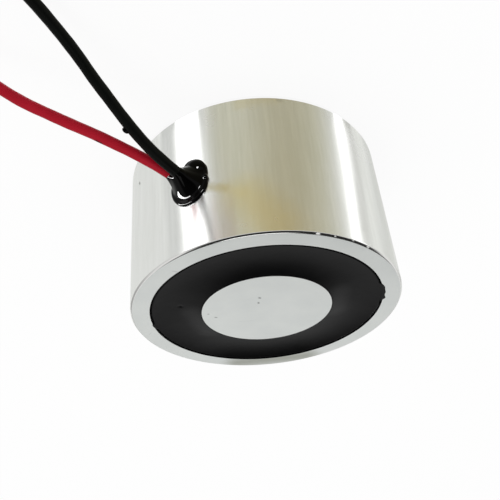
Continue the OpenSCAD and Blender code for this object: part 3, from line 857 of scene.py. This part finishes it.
set_resin = mottled("cast_black_resin", rates=(0.35, 7), colours=RESIN_BLACKS, rough=(0.28, 0.36),
                    relief=("Cloud", 0.03), painted_gloss_marks=PAINTED_GLOSS_MARKS)
wet_resin = mottled("flowed_black_resin", rates=(0.6, 4), colours=None, rough=(0.02, 0.05),
                    relief=("Cloud", 0.02), Specular_IOR_Level=0.06,
                    Base_Color=(0.00015, 0.00015, 0.00015, 1))
red_plastic = mottled("red_lead_plastic", colours=LEAD_REDS, marks=LEAD_MARKS, **LEAD_PLASTIC)
black_plastic = mottled("black_lead_plastic", colours=LEAD_BLACKS, **LEAD_PLASTIC)
for piece, finish in ((resin, set_resin), (seal, wet_resin), (splash, wet_resin),
                      (red_cord, red_plastic), (black_cord, black_plastic)):
    piece.data.materials.append(finish)
print("finishes so far:", len(bpy.data.materials))

# %% [markdown]
# ### Which finish goes where on the pot
# A face of the pot is ground when it lies in the plane of the poles, cut when it belongs to a
# chamfer, and turned otherwise. The cast resin wets the narrow edges on both sides of its channel
# and leaves a film on them, so these get the resin's finish.

# %% Finishes of the pot's faces
FLAT_WITHIN, EDGE_BELOW = 0.005, 0.05
pot.data.materials.append(resin.data.materials[0])
middles = np.empty(len(pot.data.polygons) * 3)
pot.data.polygons.foreach_get("center", middles)
middles = middles.reshape(-1, 3) / MM
reach, height = np.hypot(middles[:, 0], middles[:, 1]), middles[:, 2]
on_face = height > POT_H - FLAT_WITHIN
at_back = (reach > WALL_R - BACK_CHAMFER) & (height < BACK_CHAMFER)
on_edge = ~on_face & ((height > POT_H - RIM_CHAMFER - EDGE_BELOW) | at_back)
filmed = on_edge & (reach > POLE_R - FACE_EDGE) & (reach < CAVITY_R + FACE_EDGE)
pot.data.polygons.foreach_set("material_index", (on_face + 2 * on_edge + filmed).astype(np.int32))
print("faces ground, cut, filmed:", int(on_face.sum()), int(on_edge.sum()), int(filmed.sum()))

# %% [markdown]
# ### Small and hidden pieces
# The tie is dull plastic, and the bare ends are tinned strands. The winding and its fittings are
# sealed in the resin, and each still gets the finish that it has: nylon, copper, tape and sleeve.


# %% Finishes of the other pieces
def wound_copper():
    """Enamelled copper: fine uneven lines up the winding's height, as its turns of wire show."""
    material, tree, shader, mm = new_finish("wound_copper", Metallic=1, Roughness=0.32)
    turns = use_group(tree, LATHE_LINES, Across=height_in(tree, mm), Lines_per_mm=2)["Lines"]
    feed(tree, shader, Base_Color=blend_colours(tree, turns, (0.36, 0.12, 0.04), (0.72, 0.3, 0.12)))
    add_bump(tree, shader, turns, 0.1)
    return material


PLAIN_RATES, PLAIN_RELIEF = (0.4, 5.0), ("Grain", 0.01)
# Each plain finish: its two colours, its roughness, and whether it is metal
PLAIN_FINISHES = {
    "tie_plastic": ((0.012, 0.012, 0.013), (0.02, 0.02, 0.021), (0.49, 0.61), 0),
    "tinned_strands": ((0.6, 0.61, 0.62), (0.74, 0.75, 0.76), (0.26, 0.38), 1),
    "shrink_sleeve": ((0.02, 0.02, 0.02), (0.03, 0.03, 0.03), (0.44, 0.56), 0),
    "amber_tape": ((0.62, 0.38, 0.06), (0.72, 0.47, 0.1), (0.24, 0.36), 0),
    "bobbin_nylon": ((0.74, 0.7, 0.6), (0.82, 0.78, 0.69), (0.42, 0.54), 0),
}
tie_cover, tinned, sleeve, tape, nylon = (
    mottled(name, PLAIN_RATES, (first, second), rough, PLAIN_RELIEF, Metallic=metal)
    for name, (first, second, rough, metal) in PLAIN_FINISHES.items())
for piece, finish in ((tie, tie_cover), (red_end, tinned), (black_end, tinned)):
    piece.data.materials.append(finish)
copper = wound_copper()
hidden_finishes = {
    "bobbin": nylon, "winding_tape": tape,
    "coil_winding": copper, "start_wire": copper, "finish_wire": copper,
    "red_splice_joint": tinned, "black_splice_joint": tinned,
    "red_splice_sleeve": sleeve, "black_splice_sleeve": sleeve,
}
for node_name, finish in hidden_finishes.items():
    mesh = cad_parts[node_name].data
    mesh.materials.clear()
    mesh.materials.append(finish)
print("finishes:", len(bpy.data.materials))

# %% [markdown]
# ## Floor, light and surroundings
# The floor is plain white. The camera and the metal see it close to pure white, and it keeps a soft
# shadow: it mixes a plain diffuse with a share of white for those rays. From below it is clear, so
# that the magnet's back can be looked at.

# %% Floor
FLOOR_WHITE_SHARE, FLOOR_HALF, FLOOR_Z, FLOOR_LINES = 0.88, 1500, -0.03, 7


def stage_piece(name, grid):
    """A stage surface from a grid of points in mm."""
    mesh = bpy.data.meshes.new(name)
    faces = grid_faces(*grid.shape[:2], wrap_columns=False)
    mesh.from_pydata((grid.reshape(-1, 3) * MM).tolist(), [], faces.tolist())
    piece = new_object(name, mesh)
    return piece


def empty_tree(owner):
    """The node tree of a new material or world, with nothing in it."""
    owner.use_nodes = True
    owner.node_tree.nodes.clear()
    return owner.node_tree


side = np.linspace(-FLOOR_HALF, FLOOR_HALF, FLOOR_LINES)
flat_y, flat_x = np.meshgrid(side, side, indexing="ij")
floor = stage_piece("studio_floor", np.stack([flat_x, flat_y, FLOOR_Z + 0 * flat_x], axis=-1))
paper = bpy.data.materials.new("white_floor")
tree = empty_tree(paper)
diffuse = add_node(tree, "BsdfDiffuse", Color=(0.92, 0.92, 0.92, 1))
white = add_node(tree, "Emission", Color=(1, 1, 1, 1), Strength=1.0)
path = add_node(tree, "LightPath").node.outputs
seen = path["Is Camera Ray"]
for ray in ("Is Glossy Ray", "Is Transmission Ray"):
    seen = add_node(tree, "Math", seen, path[ray], operation="MAXIMUM")
share = add_node(tree, "Math", seen, FLOOR_WHITE_SHARE, operation="MULTIPLY")
from_above = add_node(tree, "MixShader", share, diffuse, white)
from_below = add_node(tree, "NewGeometry", output="Backfacing")
either = add_node(tree, "MixShader", from_below, from_above, add_node(tree, "BsdfTransparent"))
add_node(tree, "OutputMaterial", either)
floor.data.materials.append(paper)
print("floor of", 2 * FLOOR_HALF, "mm")

# %% [markdown]
# ### Cards for the steel
# A polished wall shows only what stands round it. Seen from above it mirrors the floor, so a studio
# lays cards there: a warm one in front, a white strip on each side of it, and pale grey beyond.
# Only mirror rays see them. The sheet is ruled by straight lines: each leaves the wall's foot in the
# direction in which the wall turns the camera's view away, so that a strip on the sheet becomes a
# band along the wall. A second sheet with plainer strips is ruled for a viewer on the other side.

# %% Card sheets
CARD_REACH, CARD_TURN, CARD_SPREAD, CARD_UNDER = 400, 74, 1.5, 0.3
CARD_LEAN, HEIGHT_MOST, WAY_PER_HEIGHT = 0.11, 1.2, 1.5
FRONT_LIFT, BACK_LIFT = 0.3, 0.15
CARD_GREY, CARD_WHITE, BACK_WHITE = (0.85, 0.86, 0.84), (2.2, 2.2, 2.2), (1.3, 1.3, 1.3)
# Each strip: first and last turn in degrees, softness of its edges, colour
FRONT_STRIPS = [
    (-74, -61, 6, (0.74, 0.75, 0.72)),
    (-59, -52, 3, (0.93, 0.94, 0.9)),
    (-51, -46, 2, (0.66, 0.66, 0.63)),
    (-38, 17, 9, (0.7, 0.7, 0.63)),
    (-32, 14, 10, (0.61, 0.6, 0.48)),
    (-28, -3, 22, (0.48, 0.45, 0.32)),
    (-45.0, -40.5, 2.4, CARD_WHITE),
    (20.2, 31.3, 1.8, CARD_WHITE),
    (31.5, 40, 1.2, (0.73, 0.74, 0.725)),
    (40, 42.5, 1.2, (0.95, 0.96, 0.94)),
]
BACK_STRIPS = [
    (-70, -50, 6, (0.7, 0.71, 0.69)),
    (-44, -24, 8, (0.56, 0.56, 0.52)),
    (-21, -15, 2, BACK_WHITE),
    (-12, 22, 12, (0.6, 0.59, 0.53)),
    (26, 35, 2, BACK_WHITE),
    (36, 60, 5, (0.68, 0.69, 0.68)),
]
FAR_TINT, NO_TINT = np.array([0.93, 0.88, 0.74]), 1
TINT_FROM, TINT_TO, TINT_EASE, TINT_RISE, TINT_LATE = -30, 16, 20, 1.1, 0.25
CARD_STREAKS = [(0.018, 1.3, 0), (0.0144, 2.9, 1), (0.0126, 5.1, 2)]


def card_sheet(viewer, lift, rows=40, columns=297):
    """Point = wall's foot + way * mirrored plan direction; also gives the turn and the way."""
    facing = np.arctan2(viewer[1], viewer[0])
    turn = np.linspace(-CARD_TURN, CARD_TURN, columns)
    normal = np.stack([np.cos(facing + np.radians(turn)), np.sin(facing + np.radians(turn))], axis=-1)
    foot = WALL_R * normal
    view = foot - viewer / MM
    view /= np.linalg.norm(view, axis=1)[:, None]
    away = view - 2 * np.sum(view * normal, axis=1)[:, None] * normal
    way = (np.linspace(0, 1, rows) ** CARD_SPREAD * CARD_REACH)[:, None, None]
    plan = foot + (way - CARD_UNDER) * away
    return np.concatenate([plan, np.full((rows, columns, 1), lift)], axis=-1), turn, way[..., 0]


def card_colours(turn, way, strips, tint):
    """Lays soft-edged strips over each other, on a turn that leans with the height mirrored."""
    height = np.clip(way / WAY_PER_HEIGHT / POT_H, 0, HEIGHT_MOST)
    turn = turn * (1 + CARD_LEAN * height)
    colour = np.ones(turn.shape + (1,)) * np.array(CARD_GREY)
    for start, stop, soft, shade in strips:
        cover = ease((turn - start + soft / 2) / soft) * ease((stop + soft / 2 - turn) / soft)
        colour = colour + cover[..., None] * (np.array(shade) - colour)
    warm = ease((turn - TINT_FROM) / TINT_EASE) * ease((TINT_TO - turn) / TINT_EASE)
    warm = warm * ease(height * TINT_RISE - TINT_LATE)
    colour = colour * (1 + warm[..., None] * (tint - 1))
    return colour * (1 + ripple(CARD_STREAKS, turn)[..., None])


printed = bpy.data.materials.new("studio_cards")
tree = empty_tree(printed)
shade = add_node(tree, "Attribute", attribute_name="card_shade", output="Color")
add_node(tree, "OutputMaterial", add_node(tree, "Emission", shade, Strength=1.0))


def lay_cards(name, viewer, lift, strips, tint):
    """One sheet of cards that only mirror rays see, with its colours kept on its points."""
    points, turn, way = card_sheet(viewer, lift)
    cards = stage_piece(name, points)
    glow = card_colours(turn[None] + 0 * way, way, strips, tint)
    shades = cards.data.color_attributes.new("card_shade", "FLOAT_COLOR", "POINT")
    shades.data.foreach_set("color", np.concatenate([glow, np.ones(glow.shape[:2] + (1,))], axis=-1).ravel())
    for ray in ("camera", "diffuse", "shadow", "transmission"):
        setattr(cards, "visible_" + ray, False)
    cards.data.materials.append(printed)
    print(name, "points:", points.shape[:2])


lay_cards("front_cards", CAMERA_AT[:2], FRONT_LIFT, FRONT_STRIPS, FAR_TINT)
lay_cards("back_cards", -CAMERA_AT[:2], BACK_LIFT, BACK_STRIPS, NO_TINT)

# %% [markdown]
# ### Room
# For plain surfaces the room is an even grey. Mirror rays see a room that grows brighter from the
# horizon to half its height and is dark overhead, which is what draws the dish of the resin and the
# dark line of the chamfer. The dark part leans to one side, so that the line fades out on the other.

# %% Room
ROOM_LEVEL = 0.85
# Each stop: height in the room from 0 to 1, brightness
ROOM_STOPS = [(0.0, 0.45), (0.1, 0.58), (0.2, 0.76), (0.3, 0.87), (0.46, 0.9), (0.51, 0.8), (0.56, 0.35),
              (0.62, 0.06), (0.7, 0.02), (1.0, 0.02)]
ROOM_LEAN = np.radians(15)
world = bpy.data.worlds.new("studio")
bpy.context.scene.world = world
tree = empty_tree(world)
direction = add_node(tree, "TexCoord", output="Generated")
leaning_up = (0, -np.sin(ROOM_LEAN), np.cos(ROOM_LEAN))
room_height = add_node(tree, "VectorMath", direction, leaning_up, operation="DOT_PRODUCT", output="Value")
ramp = add_node(tree, "ValToRGB", room_height)
stops = ramp.node.color_ramp.elements
for position, _ in ROOM_STOPS[1:-1]:
    stops.new(position)
for stop, (_, level) in zip(stops, ROOM_STOPS):
    stop.color = (level, level, level, 1)
even = add_node(tree, "Background", Color=(1, 1, 1, 1), Strength=ROOM_LEVEL)
mirrored = add_node(tree, "Background", ramp, Strength=1.0)
by_ray = add_node(tree, "LightPath", output="Is Glossy Ray")
add_node(tree, "OutputWorld", add_node(tree, "MixShader", by_ray, even, mirrored))
print("room stops:", len(ROOM_STOPS))

# %% [markdown]
# ### Lamps
# One large soft lamp hangs overhead. Two bright narrow ones give the glints on the wet-looking seal.
# They would wash out the steel, so they are linked to the seal and light nothing else.

# %% Lamps
LAMP_AIM = np.array([0.02, 0, 0.015])


def towards(azimuth, elevation):
    """Unit direction from two angles in degrees."""
    a, e = np.radians(azimuth), np.radians(elevation)
    return np.array([np.cos(e) * np.cos(a), np.cos(e) * np.sin(a), np.sin(e)])


def strip_lamp(name, first, last, distance, thickness, power):
    """A lamp like a strip between two directions from the magnet, facing it."""
    ends = np.array([towards(*first), towards(*last)]) * distance
    span, middle = ends[1] - ends[0], ends.sum(axis=0)
    data = bpy.data.lights.new(name, "AREA")
    data.shape = "RECTANGLE"
    data.size, data.size_y = np.linalg.norm(span), thickness
    data.energy = power
    lamp = new_object(name, data)
    right, back = span / np.linalg.norm(span), middle / np.linalg.norm(middle)
    set_place(lamp, right, back, LAMP_AIM + ends.mean(axis=0))
    return lamp


strip_lamp("overhead_lamp", (154, 75), (-26, 75), distance=0.8, thickness=0.4, power=1.1)
wet_gloss = bpy.data.collections.new("wet_gloss")
wet_gloss.objects.link(seal)
for lamp in (strip_lamp("seal_softbox", (90, -1), (5, 32), distance=0.5, thickness=0.08, power=33),
             strip_lamp("seal_glint", (-48, 0), (-34, 7), distance=0.5, thickness=0.07, power=6)):
    lamp.light_linking.receiver_collection = wet_gloss
bpy.context.scene.view_settings.view_transform = "Standard"
print("lamps:", len(bpy.data.lights))
